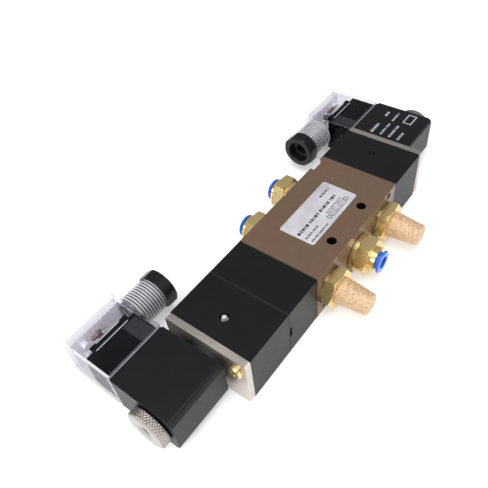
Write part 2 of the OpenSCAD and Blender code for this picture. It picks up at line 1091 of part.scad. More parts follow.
module collet_b() {
    at_port(working_x, 1)
        collet(neck_top(seat_b, 0, ab_hex_h));
}

module fitting_seal(top) {
    rotate_extrude()
        translate([tube_r - seal_bite, top - seal_drop])
            square([collet_bore_r - tube_r + seal_bite, seal_h]);
}

module fitting_seals() {
    color(rubber) {
        at_port(0, -1)
            fitting_seal(neck_top(seat_p, p_flange_h, hex_h));
        at_port(-working_x, 1)
            fitting_seal(neck_top(seat_a, 0, ab_hex_h));
        at_port(working_x, 1)
            fitting_seal(neck_top(seat_b, 0, ab_hex_h));
    }
}

// ---- silencers ----

silencer_seat = 0.8;
silencer_hex_h = 4.8;
silencer_top = silencer_seat + silencer_hex_h;
element_r0 = 6.6;
element_r1 = 5.3;
element_bore_r = 4.4;
element_spigot_r = 6;
spigot_l = 1;

module silencer_base(x) {
    color(brass)
        at_port(x, -1)
            difference() {
                union() {
                    translate([0, 0, -thread_l])
                        cylinder(h = thread_l + silencer_seat, r = port_r - rest_gap);
                    hexagon(silencer_seat, silencer_hex_h, silencer_hex_r);
                }
                translate([0, 0, -thread_l - over])
                    cylinder(h = thread_l + silencer_top + 2 * over, r = element_bore_r);
                translate([0, 0, silencer_top - spigot_l])
                    cylinder(h = spigot_l + over, r = element_spigot_r);
            }
}

module silencer_base_near() {
    silencer_base(-exhaust_x);
}

module silencer_base_far() {
    silencer_base(exhaust_x);
}

// Sintered thimble: tapered, hollow and closed at its tip
module silencer_element(x) {
    tip_r = 0.9;
    tip_edge = 0.27;
    tip_t = 2.2;
    color(bronze)
        at_port(x, -1)
            rotate_extrude()
                polygon([[element_bore_r, silencer_top - spigot_l],
                    [element_spigot_r, silencer_top - spigot_l],
                    [element_spigot_r, silencer_top], [element_r0, silencer_top],
                    [element_r1, silencer_out - tip_r],
                    [element_r1 - tip_edge, silencer_out - tip_edge],
                    [element_r1 - tip_r, silencer_out], [0, silencer_out],
                    [0, silencer_out - tip_t], [element_r1 - tip_t, silencer_out - tip_t]]);
}

module silencer_element_near() {
    silencer_element(-exhaust_x);
}

module silencer_element_far() {
    silencer_element(exhaust_x);
}

valve_body();
name_label();
body_gaskets();
housing_gasket();
spring_housing();
pilot_cap_near();
pilot_cap_far();
spool();
spool_seals();
piston_near();
piston_far();
piston_seals();
centring_spring();
spring_seats();
assembly_screws();
mounting_plate_near();
mounting_plate_far();
armature_tubes();
fixed_cores();
tube_seals();
plunger_near();
plunger_far();
plunger_spring_near();
plunger_spring_far();
coil_seals();
coil_near();
coil_far();
coil_bobbins();
coil_windings();
coil_nut_near();
coil_nut_far();
coil_terminals();
connector_gaskets();
connector_insert_near();
connector_insert_far();
connector_housing_near();
connector_housing_far();
circuit_boards();
gland_tube_near();
gland_tube_far();
connector_screws();
gland_grommets();
gland_washers();
gland_nut_near();
gland_nut_far();
override_button_near();
override_button_far();
override_spring_near();
override_spring_far();
fitting_p();
fitting_a();
fitting_b();
collet_p();
collet_a();
collet_b();
fitting_seals();
silencer_base_near();
silencer_base_far();
silencer_element_near();
silencer_element_far();
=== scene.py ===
import json
import math

import bmesh
import bpy
from mathutils import Matrix, Vector, noise


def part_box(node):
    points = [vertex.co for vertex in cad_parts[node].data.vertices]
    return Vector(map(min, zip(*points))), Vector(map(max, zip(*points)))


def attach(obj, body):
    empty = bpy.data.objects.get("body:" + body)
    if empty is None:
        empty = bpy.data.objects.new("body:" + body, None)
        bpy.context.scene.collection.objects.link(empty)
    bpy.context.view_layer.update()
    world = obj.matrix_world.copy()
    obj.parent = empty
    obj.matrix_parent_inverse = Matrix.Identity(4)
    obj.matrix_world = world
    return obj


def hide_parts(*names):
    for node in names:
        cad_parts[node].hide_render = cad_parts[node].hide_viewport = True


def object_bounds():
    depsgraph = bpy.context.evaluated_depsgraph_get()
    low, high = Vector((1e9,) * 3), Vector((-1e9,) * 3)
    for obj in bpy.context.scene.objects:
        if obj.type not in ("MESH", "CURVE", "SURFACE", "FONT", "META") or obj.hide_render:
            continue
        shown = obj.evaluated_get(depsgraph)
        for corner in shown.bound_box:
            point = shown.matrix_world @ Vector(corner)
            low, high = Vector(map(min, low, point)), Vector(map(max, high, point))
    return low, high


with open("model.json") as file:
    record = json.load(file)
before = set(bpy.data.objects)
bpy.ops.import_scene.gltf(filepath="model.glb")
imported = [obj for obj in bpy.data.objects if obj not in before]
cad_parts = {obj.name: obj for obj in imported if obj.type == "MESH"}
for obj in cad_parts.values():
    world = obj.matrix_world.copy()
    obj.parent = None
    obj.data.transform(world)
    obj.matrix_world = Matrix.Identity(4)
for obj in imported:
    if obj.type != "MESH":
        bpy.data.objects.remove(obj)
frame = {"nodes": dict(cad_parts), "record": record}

cad_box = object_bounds()
MM = 0.001
NODES = frame["nodes"]
SLOT_OF = {s["node"]: s["material_slot"] for s in frame["record"]["subparts"]}

# ---------------------------------------------------------------- materials

# the near black of the painted shade inside the mounting holes
HOLE_SHADE = (0.012, 0.009, 0.008)
MOUNT_HOLES = ((-13, -14), (13, -14))   # the upright hole axes, x and y in millimetres
HOLE_RADIUS = 2.3                       # just over the holes' own radius, so it takes in the walls
RING_PITCH = 1.4                        # from ring to ring on the cable outlets, millimetres
RING_GROOVE = {"near": -85.8, "far": 64.6}   # x of one groove on each outlet
# the circuit board's glow is painted light; the floor's glow keeps the backdrop pale
GLOW = 0.3                              # how strongly the floor and the circuit board shine


class Shader:
    """One node material, built up by small steps that all read the object's own coordinates."""

    def __init__(self, name):
        self.material = bpy.data.materials.new(name)
        self.material.use_nodes = True
        self.tree = self.material.node_tree
        self.bsdf = self.tree.nodes["Principled BSDF"]
        self.coords = self.tree.nodes.new("ShaderNodeTexCoord").outputs["Object"]

    def node(self, kind, **values):
        """Adds a node; keys that start with a capital set inputs, with _ for a space."""
        node = self.tree.nodes.new(kind)
        for key, value in values.items():
            if key[0].isupper():
                node.inputs[key.replace("_", " ")].default_value = value
            else:
                setattr(node, key, value)
        return node

    def link(self, a, b):
        self.tree.links.new(a, b)

    def stretched(self, scale):
        """The object's coordinates, stretched per axis."""
        mapping = self.node("ShaderNodeMapping")
        mapping.inputs["Scale"].default_value = scale
        self.link(self.coords, mapping.inputs["Vector"])
        return mapping.outputs["Vector"]

    def noise(self, scale, detail=3.0, stretch=None):
        node = self.node("ShaderNodeTexNoise", Scale=scale, Detail=detail, Roughness=0.6)
        self.link(self.stretched(stretch) if stretch else self.coords, node.inputs["Vector"])
        return node.outputs["Fac"]

    def grains(self, scale):
        """The distance to the middle of the nearest grain."""
        node = self.node("ShaderNodeTexVoronoi", feature="F1", Scale=scale)
        self.link(self.coords, node.inputs["Vector"])
        return node.outputs["Distance"]

    def ramp(self, value, low, high, at=(0.3, 0.7)):
        """A colour that runs from low to high as value does."""
        node = self.node("ShaderNodeValToRGB")
        for stop, place, colour in zip(node.color_ramp.elements, at, (low, high)):
            stop.position = place
            stop.color = (*colour, 1)
        self.link(value, node.inputs["Fac"])
        return node.outputs["Color"]

    def mix(self, factor, a, b):
        """Two colour sockets mixed by a number socket."""
        colour_a, colour_b, colour_out = 6, 7, 2   # the node's sockets share names, not places
        node = self.node("ShaderNodeMix", data_type="RGBA")
        self.link(factor, node.inputs["Factor"])
        self.link(a, node.inputs[colour_a])
        self.link(b, node.inputs[colour_b])
        return node.outputs[colour_out]

    def span(self, value, low, high, at=(0.3, 0.7)):
        """A number that runs from low to high as value does."""
        node = self.node("ShaderNodeMapRange")
        for key, number in zip(("From Min", "From Max", "To Min", "To Max"), (*at, low, high)):
            node.inputs[key].default_value = number
        self.link(value, node.inputs["Value"])
        return node.outputs["Result"]

    def near_holes(self, centres, radius):
        """1 within radius of any of the upright hole axes (millimetres), 0 elsewhere."""
        flat = self.node("ShaderNodeVectorMath", operation="MULTIPLY")
        flat.inputs[1].default_value = (1, 1, 0)
        self.link(self.coords, flat.inputs[0])
        total = None
        for x, y in centres:
            away = self.node("ShaderNodeVectorMath", operation="DISTANCE")
            away.inputs[1].default_value = (x * MM, y * MM, 0)
            self.link(flat.outputs[0], away.inputs[0])
            near = self.node("ShaderNodeMath", operation="LESS_THAN")
            near.inputs[1].default_value = radius * MM
            self.link(away.outputs["Value"], near.inputs[0])
            if total:
                join = self.node("ShaderNodeMath", operation="MAXIMUM")
                self.link(total, join.inputs[0])
                self.link(near.outputs[0], join.inputs[1])
                near = join
            total = near.outputs[0]
        return total

    def colour(self, socket):
        self.link(socket, self.bsdf.inputs["Base Color"])

    def rough(self, socket):
        self.link(socket, self.bsdf.inputs["Roughness"])

    def bump(self, value, depth):
        """Adds relief, depth in millimetres; calls stack."""
        node = self.node("ShaderNodeBump", Distance=depth * MM)
        self.link(value, node.inputs["Height"])
        last = self.bsdf.inputs["Normal"]
        if last.is_linked:
            self.link(last.links[0].from_socket, node.inputs["Normal"])
        self.link(node.outputs["Normal"], last)

    def glow(self, colour):
        self.bsdf.inputs["Emission Color"].default_value = (*colour, 1)
        self.set(Emission_Strength=GLOW)

    def set(self, **values):
        """Sets the shader's own inputs, with _ for a space."""
        for key, value in values.items():
            self.bsdf.inputs[key.replace("_", " ")].default_value = value


def tone(colour, factor):
    """A lighter or darker version of a colour."""
    return tuple(min(1.0, c * factor) for c in colour)


def plastic(name, colour, rough, grain=2600, depth=0.012, coat=0.0, shine=0.5):
    """Moulded plastic: fine spark texture, depth in millimetres, faint mottling, uneven gloss."""
    s = Shader(name)
    s.colour(s.ramp(s.noise(90, detail=4), tone(colour, 0.86), tone(colour, 1.16)))
    s.rough(s.span(s.noise(700), rough - 0.03, rough + 0.03))
    s.bump(s.noise(grain, detail=2), depth)
    s.set(Coat_Weight=coat, Coat_Roughness=0.15, Specular_IOR_Level=shine)
    return s.material


def metal(name, colour, rough, stretch=(1, 1, 1), scratch=900, depth=0.002, vary=0.08, pure=1.0):
    """Polished or brushed metal: fine lines along one way, smudged gloss, slight tarnish."""
    s = Shader(name)
    s.colour(s.ramp(s.noise(55, detail=5), tone(colour, 1 - vary), tone(colour, 1 + vary)))
    lines = s.noise(scratch, detail=3, stretch=stretch)
    s.rough(s.span(lines, rough * 0.75, rough * 1.3))
    s.bump(lines, depth)
    s.set(Metallic=pure)
    return s.material


def anodised(name):
    """Brown anodised extrusion: satin, with a faint red and green mottle and fine drawn lines.
    The walls of the mounting holes are coloured nearly black, as painted shade."""
    s = Shader(name)
    fine = s.noise(260, detail=5)
    red = s.ramp(fine, (0.178, 0.108, 0.074), (0.196, 0.119, 0.082))
    green = s.ramp(fine, (0.160, 0.113, 0.073), (0.176, 0.125, 0.081))
    brown = s.mix(s.span(s.noise(34, detail=3), 0, 1, at=(0.38, 0.62)), red, green)
    # painted shade: the walls of the mounting holes are coloured nearly black
    hole_shade_mask = s.near_holes(MOUNT_HOLES, HOLE_RADIUS)
    s.colour(s.mix(hole_shade_mask, brown, s.ramp(fine, HOLE_SHADE, HOLE_SHADE)))
    drawn = s.noise(1500, detail=2, stretch=(0.05, 1, 1))
    s.rough(s.span(drawn, 0.27, 0.33))
    s.bump(drawn, 0.0004)
    s.set(Metallic=0.3, Specular_IOR_Level=0.4)
    return s.material


def sintered(name):
    """Bronze grains pressed and fused: pale crowns, dark pores between them."""
    s = Shader(name)
    grain = s.grains(1500)
    pale = s.ramp(s.noise(700, detail=1), (0.62, 0.42, 0.25), (0.74, 0.53, 0.33), at=(0.35, 0.65))
    dark = s.ramp(s.noise(900, detail=1), (0.36, 0.20, 0.09), (0.46, 0.27, 0.13))
    s.colour(s.mix(s.span(grain, 0, 1, at=(0.5, 0.9)), pale, dark))
    s.rough(s.span(s.noise(800), 0.4, 0.6))
    s.bump(s.span(grain, 1, 0, at=(0.0, 1.0)), 0.06)
    s.set(Metallic=0.15)
    return s.material


def clear_plastic(name):
    """Clear moulding with a faint cool tint and slight ripple. It bends light far less than real
    plastic, because the thin walls would otherwise trap it and turn black along the edges."""
    s = Shader(name)
    s.colour(s.ramp(s.noise(60), (0.76, 0.75, 0.785), (0.81, 0.80, 0.835)))
    s.rough(s.span(s.noise(300), 0.05, 0.09))
    s.bump(s.noise(120), 0.006)
    s.set(Transmission_Weight=1.0, IOR=1.04)
    return s.material


def painted_edge_shade(name):
    """The rounded edges of a clear moulding, coloured greyer than its walls as painted shade along
    its outline.
    """
    s = Shader(name)
    s.colour(s.ramp(s.noise(200), (0.40, 0.39, 0.43), (0.58, 0.57, 0.61)))
    s.rough(s.span(s.noise(500), 0.2, 0.35))
    s.set(Transmission_Weight=0.45, IOR=1.1)
    return s.material


def ringed_plastic(name, pitch, groove_x):
    """The same clear moulding where it is ringed, with painted shade in each groove and a painted
    highlight on each crest. One groove is at groove_x, and pitch is the way to the next, both in
    millimetres."""
    s = Shader(name)
    apart = s.node("ShaderNodeSeparateXYZ")
    s.link(s.coords, apart.inputs[0])
    place = s.node("ShaderNodeMath", operation="MULTIPLY_ADD")
    s.link(apart.outputs["X"], place.inputs[0])
    place.inputs[1].default_value = 1 / (pitch * MM)
    place.inputs[2].default_value = -groove_x / pitch
    turn = s.node("ShaderNodeMath", operation="PINGPONG")
    s.link(place.outputs[0], turn.inputs[0])
    turn.inputs[1].default_value = 0.5
    # painted shade: near black in the grooves; painted highlight: near white on the crests
    s.colour(s.ramp(turn.outputs[0], (0.02, 0.018, 0.035), (0.93, 0.92, 0.96), at=(0.13, 0.25)))
    s.link(s.span(turn.outputs[0], 0.2, 0.5, at=(0.12, 0.26)), s.bsdf.inputs["Transmission Weight"])
    s.rough(s.span(s.noise(300), 0.06, 0.1))
    s.bump(s.noise(400), 0.003)
    s.set(IOR=1.06, Coat_Weight=1.0, Coat_Roughness=0.05)
    return s.material


def white_board(name):
    """White lacquered board with faint tracks under the lacquer. It glows a little though it is no
    lamp: painted light that keeps it pale inside the clear housing.
    """
    s = Shader(name)
    tracks = s.node("ShaderNodeTexBrick", Scale=200.0, Mortar_Size=0.03)
    s.link(s.coords, tracks.inputs["Vector"])
    tracks.inputs["Color1"].default_value = (0.80, 0.78, 0.84, 1)
    tracks.inputs["Color2"].default_value = (0.85, 0.83, 0.89, 1)
    tracks.inputs["Mortar"].default_value = (0.68, 0.66, 0.71, 1)
    s.colour(tracks.outputs["Color"])
    s.rough(s.span(s.noise(400), 0.25, 0.4))
    # painted light: the board is given a glow
    s.glow((0.8, 0.78, 0.84))
    return s.material


def winding_wire(name):
    """Enamelled wire wound round the armature tube."""
    s = Shader(name)
    wave = s.node("ShaderNodeTexWave", Scale=900.0, Distortion=0.4)
    s.link(s.coords, wave.inputs["Vector"])
    s.colour(s.ramp(wave.outputs["Fac"], (0.2, 0.06, 0.02), (0.62, 0.26, 0.1), at=(0.1, 0.9)))
    s.bump(wave.outputs["Fac"], 0.08)
    s.set(Metallic=0.7, Roughness=0.35)
    return s.material


def studio_floor(name):
    """Plain white paper that glows a little, so that it stays pale in the shadows."""
    s = Shader(name)
    s.colour(s.ramp(s.noise(3), (0.93, 0.93, 0.93), (0.95, 0.95, 0.95)))
    s.set(Roughness=0.8, Specular_IOR_Level=0.2)
    s.glow((1, 1, 1))
    return s.material


MATERIALS = {
    "body_anodised": anodised("anodised_brown"),
    "black_moulding": plastic("black_moulding", (0.0056, 0.0053, 0.0068), 0.4, shine=0.24),
    "black_connector": plastic("black_connector", (0.0065, 0.0065, 0.0078), 0.34, depth=0.005,
                               shine=0.3),
    "clear_plastic": clear_plastic("clear_plastic"),
    "nickel": metal("nickel_plate", (0.58, 0.525, 0.48), 0.36, stretch=(1, 0.08, 1)),
    "steel": metal("turned_steel", (0.55, 0.55, 0.57), 0.3, stretch=(1, 0.1, 0.1)),
    "brass": metal("brass", (0.80, 0.61, 0.29), 0.2, stretch=(1, 0.3, 1), scratch=1800,
                   depth=0.0006, pure=0.85),
    "sintered_bronze": sintered("sintered_bronze"),
    "blue_plastic": plastic("blue_plastic", (0.016, 0.15, 0.66), 0.28, depth=0.003, coat=0.3),
    "label": plastic("label_foil", (0.56, 0.54, 0.585), 0.35, grain=900, depth=0.002),
    "white_plastic": plastic("white_plastic", (0.55, 0.55, 0.57), 0.35, depth=0.005),
    "rubber": plastic("rubber", (0.006, 0.006, 0.0065), 0.62, grain=1800, depth=0.02),
    "copper": winding_wire("copper_winding"),
    "circuit_board": white_board("circuit_board"),
}
RINGED = {end: ringed_plastic("clear_ringed_" + end, RING_PITCH, groove_x)
          for end, groove_x in RING_GROOVE.items()}
# grey painted shade for the eased edges of clear mouldings
EDGE_SHADE = painted_edge_shade("painted_edge_shade")
KNURLED = metal("knurled_nickel", (0.40, 0.365, 0.345), 0.26, stretch=(0.3, 1, 1), scratch=1500)
INK = plastic("label_ink", (0.022, 0.022, 0.03), 0.45, depth=0.001)
COIL_INK = plastic("coil_ink", (0.42, 0.44, 0.52), 0.5, depth=0.001)
LAMP_ROSE = plastic("lamp_rose", (0.30, 0.17, 0.19), 0.2, depth=0.001, coat=0.5)
GREY_GASKET = plastic("grey_gasket", (0.26, 0.26, 0.28), 0.5, depth=0.004)
# steel coloured darker than turned_steel, as painted shade where the tubes and cores sit deep inside
# the coils and nuts
SHADED_STEEL = metal("shaded_steel", (0.2, 0.2, 0.21), 0.35, stretch=(1, 0.1, 0.1))
SMOKED = plastic("smoked_rib", (0.05, 0.049, 0.056), 0.3, depth=0.002)

# ---------------------------------------------------------------- pieces made here

SAME_POINT = 1e-7   # points closer than this, in metres, are one point


def add_piece(name, points, faces, slot, replaces=(), material=None, sharp=32):
    """A new mesh piece from points in metres, with its edges sharp where it turns by more than
    that angle. All of them ride the valve itself: none is on a moving body."""
    mesh = bpy.data.meshes.new(name)
    mesh.from_pydata(points, [], faces)
    mesh.validate()
    work = bmesh.new()
    work.from_mesh(mesh)
    bmesh.ops.remove_doubles(work, verts=work.verts, dist=SAME_POINT)
    bmesh.ops.recalc_face_normals(work, faces=work.faces)
    work.to_mesh(mesh)
    work.free()
    mesh.shade_smooth()
    mesh.set_sharp_from_angle(angle=math.radians(sharp))
    mesh.materials.append(material or MATERIALS[slot])
    piece = bpy.data.objects.new(name, mesh)
    bpy.context.scene.collection.objects.link(piece)
    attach(piece, "valve")
    if replaces:
        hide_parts(*replaces)


def outwards(origin, direction):
    """A frame in millimetres whose +Z is the given direction."""
    z = Vector(direction).normalized()
    x = Vector((0, 0, 1))   # every direction used here is level
    y = z.cross(x)
    turn = Matrix((x, y, z)).transposed().to_4x4()
    return Matrix.Translation(Vector(origin)) @ turn


def turned(outline, place, steps, shape=None):
    """Points and faces of a turned shape: outline is (radius, height) pairs in millimetres, and
    shape(angle, radius, height) may change each radius. Ends at radius 0 close to one point."""
    points, faces, rings = [], [], []
    for radius, height in outline:
        if radius == 0:
            rings.append([len(points)])
            points.append(place @ Vector((0, 0, height)) * MM)
            continue
        ring = []
        for k in range(steps):
            a = 2 * math.pi * k / steps
            r = shape(a, radius, height) if shape else radius
            ring.append(len(points))
            points.append(place @ Vector((r * math.cos(a), r * math.sin(a), height)) * MM)
        rings.append(ring)
    closed = outline[0][0] != 0
    pairs = list(zip(rings, rings[1:])) + ([(rings[-1], rings[0])] if closed else [])
    for low, high in pairs:
        for k in range(steps):
            j = (k + 1) % steps
            if len(low) == 1:
                faces.append((low[0], high[k], high[j]))
            elif len(high) == 1:
                faces.append((low[k], low[j], high[0]))
            else:
                faces.append((low[k], low[j], high[j], high[k]))
    return points, faces


BOX_FACES = ((0, 2, 3, 1), (4, 5, 7, 6), (0, 1, 5, 4), (2, 6, 7, 3), (0, 4, 6, 2), (1, 3, 7, 5))


def boxes(corners):
    """Points and faces of plain boxes from (low, high) corner pairs in millimetres."""
    points, faces = [], []
    for low, high in corners:
        n = len(points)
        for i in range(8):
            points.append(Vector([(high if i >> axis & 1 else low)[axis] for axis in range(3)]) * MM)
        faces += [tuple(n + i for i in quad) for quad in BOX_FACES]
    return points, faces


def mm_box(node):
    """The low and high corners of a CAD node, in millimetres."""
    low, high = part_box(node)
    return low / MM, high / MM


def wave(turns):
    """A triangle wave from 0 to 1 and back over each whole turn."""
    return abs(2 * (turns % 1.0) - 1)


def coil_nut(end, side):
    """Knurled nut: crossed grooves round the rim, a smooth chamfer and a countersunk mouth."""
    node = "coil_nut_" + end
    low, high = mm_box(node)
    rim, height = (high.z - low.z) / 2, high.x - low.x
    start = low.x if side > 0 else high.x
    place = outwards((start, 0, (low.z + high.z) / 2), (side, 0, 0))
    cuts, pitch, depth, chamfer = 46, 1.45, 0.34, 0.55   # the knurl, and its plain ends
    face = rim - 0.75                                    # where the flat faces start
    seat, mouth, hole = 4.0, 3.6, 2.5                    # radii: behind, countersink, hole
    floor, sink = 3.0, 0.7                               # where the hole ends, countersink depth
    solid_rim = rim - 0.01                               # only radii from here up are cut

    def knurl(angle, radius, z):
        if radius < solid_rim:
            return radius
        turn = angle / (2 * math.pi) * cuts
        groove = max(wave(turn + z / pitch), wave(turn - z / pitch))
        return rim - depth * max(0.0, 2 * groove - 1)

    rows = 14
    band = [(rim, chamfer + (height - 2 * chamfer) * k / rows) for k in range(rows + 1)]
    outline = [(seat, 0), (face, 0)] + band + [
        (face, height), (mouth, height), (hole, height - sink), (hole, floor), (seat, floor)]
    steps_a_cut = 6
    add_piece(node + "_knurled", *turned(outline, place, cuts * steps_a_cut, knurl), "nickel",
              [node], material=KNURLED, sharp=50)


def gland_place(side):
    """Frame on the connector wall where the cable comes out, pointing to the valve's middle."""
    end = "near" if side < 0 else "far"
    low, high = mm_box("gland_tube_" + end)
    wall = 1.5
    root = low.x + wall if side < 0 else high.x - wall
    return end, outwards((root, (low.y + high.y) / 2, (low.z + high.z) / 2), (-side, 0, 0))


def gland_tube(side):
    """Clear outlet tube with rounded rings."""
    end, place = gland_place(side)
    root, crest, bore, spigot, length = 8.0, 8.38, 6.0, 7.0, 17.0
    first, last, rings, steps = 1.4, 14.0, 9, 8
    fullness = 0.8   # under 1 makes the crests broader than the grooves
    inner, wall, collar, fall = -1.45, 0.02, 0.7, 1.1   # heights, from inside the wall outwards
    outline = [(bore, inner), (spigot, inner), (spigot, wall), (crest, wall), (crest, collar),
               (root, fall)]
    for k in range(1, rings * steps):
        turn = k / steps
        rise = (0.5 - 0.5 * math.cos(2 * math.pi * turn)) ** fullness
        outline.append((root + (crest - root) * rise, first + (last - first) * turn / rings))
    outline += [(root, last), (root, length), (bore, length)]
    add_piece("gland_tube_%s_ringed" % end, *turned(outline, place, 72), "clear_plastic",
              ["gland_tube_" + end], material=RINGED[end], sharp=40)


def gland_nut(side):
    """Eight-sided nut: chamfered by a cone, so each flat ends in an arc, with a flared mouth."""
    end, place = gland_place(side)
    corner, start, stop = 9.4, 14.9, 21.0
    cavity, mouth, step = 7.8, 5.2, 17.8
    half_side = math.pi / 8
    flat = corner * math.cos(half_side)
    round_inside = flat - 1.6

    def octagon(angle, radius, z):
        if radius < round_inside:
            return radius
        turn = (angle + half_side) % (2 * half_side) - half_side
        across = flat / math.cos(turn)
        return min(across, radius)

    outline = [(cavity, start), (9.0, start), (corner, start + 0.4), (corner, stop - 0.9),
               (9.1, stop - 0.5), (8.7, stop - 0.2), (8.2, stop), (6.1, stop), (5.8, stop - 0.3),
               (mouth, stop - 2.0), (mouth, step), (cavity, step)]
    add_piece("gland_nut_%s_moulded" % end, *turned(outline, place, 96, octagon),
              "black_connector", ["gland_nut_" + end], sharp=20)


BODY_SIDE_Y = -20.5            # the body's face that the silencers are screwed into
COARSE, FINE = 0.1, 0.05       # how far the grains stand out of a silencer, in millimetres
MOST_GRAIN = COARSE + FINE


def silencer_element(end):
    """Sintered thimble with a grainy skin and a rounded tip."""
    node = "silencer_element_" + end
    low, high = mm_box(node)
    place = outwards(((low.x + high.x) / 2, BODY_SIDE_Y, (low.z + high.z) / 2), (0, -1, 0))
    foot, tip, r0, r1, edge = 5.65, 20.4 - MOST_GRAIN, 6.45, 5.2, 0.9
    rows, arc = 46, 6
    outline = [(0, foot), (r0, foot)]
    outline += [(r0 + (r1 - r0) * k / rows, foot + (tip - edge - foot) * k / rows)
                for k in range(1, rows + 1)]
    outline += [(r1 - edge + edge * math.cos(a), tip - edge + edge * math.sin(a))
                for a in (math.pi / 2 * k / arc for k in range(1, arc + 1))]
    outline += [(r1 * f, tip) for f in (0.6, 0.4, 0.2)] + [(0, tip)]

    def grainy(angle, radius, z):
        spot = Vector((radius * math.cos(angle), radius * math.sin(angle), z))
        return radius + COARSE * noise.noise(spot * 1.6) + FINE * noise.noise(spot * 3.7)

    add_piece(node + "_grainy", *turned(outline, place, 132, grainy), "sintered_bronze",
              [node], sharp=60)


def outlined(x0, y0, x1, y1, line):
    """Four thin bars round a rectangle, as (x0, y0, x1, y1)."""
    return [(x0, y0, x1, y0 + line), (x0, y1 - line, x1, y1),
            (x0, y0 + line, x0 + line, y1 - line), (x1 - line, y0 + line, x1, y1 - line)]


def dashes(x0, x1, y, height, widths, gap):
    """A printed row: small bars of the given repeating widths, with now and then a wider gap."""
    word, wider = 5, 2.2   # bars in a word, and how much wider the gap after it is
    bars, x, k = [], x0, 0
    while x + widths[k % len(widths)] <= x1:
        w = widths[k % len(widths)]
        bars.append((x, y, x + w, y + height))
        x += w + gap * (wider if k % word == word - 1 else 1)
        k += 1
    return bars


def rows_of_dashes(rows):
    """The bars of several printed rows."""
    return [bar for row in rows for bar in dashes(*row)]


def printed(name, bars, z, thick, slot, material):
    """Flat bars of ink that stand up from z by their thickness."""
    corners = [((x0, y0, z), (x1, y1, z + thick)) for x0, y0, x1, y1 in bars]
    add_piece(name, *boxes(corners), slot, material=material)


def valve_symbol(x0, y0, size, line):
    """Three squares side by side with plain flow bars, and a smaller box at each end."""
    bars = []
    for k in range(3):
        left = x0 + k * (size - line)
        bars += outlined(left, y0, left + size, y0 + size, line)
        for at in (0.28, 0.62):
            bars.append((left + size * at, y0 + size * 0.2, left + size * at + line,
                         y0 + size * (0.8 if k != 1 else 0.42)))
        bars.append((left + size * 0.2, y0 + size * 0.68, left + size * 0.5, y0 + size * 0.68 + line))
    for side in (-1, 1):
        x = x0 - size * 0.55 if side < 0 else x0 + 3 * size - 2 * line + size * 0.1
        bars += outlined(x, y0 + size * 0.1, x + size * 0.45, y0 + size * 0.6, line)
    return bars


LABEL_ROWS = (   # each from x to x, at y, bar height, repeating bar widths, gap
    (8, 16.4, 4.6, 1.1, (0.9, 0.5, 0.9, 0.7), 0.5),
    (-18.3, 13.6, -0.7, 1.5, (1.5, 0.8, 1.2, 0.6), 0.6),
    (-18.3, -7.6, -4.5, 0.9, (0.8, 0.5, 0.7), 0.4),
    (-18.3, -4.4, -7.6, 0.9, (0.6, 0.9, 0.5), 0.4),
)


def name_label():
    """Rounded foil with a softened rim, and its print."""
    low, high = mm_box("name_label")
    half = (high - low) / 2
    centre = (low + high) / 2
    corner, steps = 1.2, 6
    top, rounding, inset_top = low.z + 0.19, 0.05, 0.06
    rim = []
    for k, (sx, sy) in enumerate(((1, 1), (-1, 1), (-1, -1), (1, -1))):
        for i in range(steps + 1):
            a = math.pi / 2 * (k + i / steps)
            rim.append((centre.x + sx * (half.x - corner) + corner * math.cos(a),
                        centre.y + sy * (half.y - corner) + corner * math.sin(a)))
    points, n = [], len(rim)
    for z, inset in ((low.z, 0.0), (top - rounding, 0.0), (top, inset_top)):
        for x, y in rim:
            dx, dy = x - centre.x, y - centre.y
            points.append(Vector((x - inset * (dx > 0) + inset * (dx < 0),
                                  y - inset * (dy > 0) + inset * (dy < 0), z)) * MM)
    faces = [tuple(reversed(range(n))), tuple(range(2 * n, 3 * n))]
    for layer in (0, n):
        faces += [(layer + i, layer + (i + 1) % n, layer + n + (i + 1) % n, layer + n + i)
                  for i in range(n)]
    add_piece("name_label_foil", points, faces, "label", ["name_label"])
    bars = rows_of_dashes(LABEL_ROWS) + valve_symbol(0.6, -6.9, 4.1, 0.28)
    ink = 0.035
    printed("name_label_print", bars, top, ink, "label", INK)


COIL_ROWS = (   # as for the label
    (69.6, 80.2, 10.4, 1.6, (1.5, 0.9, 1.2), 0.6),
    (86.2, 91.2, 10.6, 1.4, (1.2, 0.8), 0.5),
    (70.0, 81.0, 5.4, 1.2, (0.9, 0.6, 1.1), 0.5),
    (83.8, 92.2, 5.4, 1.2, (0.8, 1.0, 0.6), 0.5),
    (70.0, 82.0, 0.4, 1.4, (1.3, 0.8, 1.0), 0.5),
    (69.8, 76.8, -4.6, 1.4, (0.7, 1.2, 1.0), 0.5),
)


def coil_print():
    """Rows of bars and an empty square on top of the far coil."""
    top = mm_box("coil_far")[1].z
    bars = rows_of_dashes(COIL_ROWS) + outlined(85.0, -4.2, 93.4, 0.8, 0.7)
    sunk, ink = 0.005, 0.03
    printed("coil_print", bars, top - sunk, ink, "black_moulding", COIL_INK)


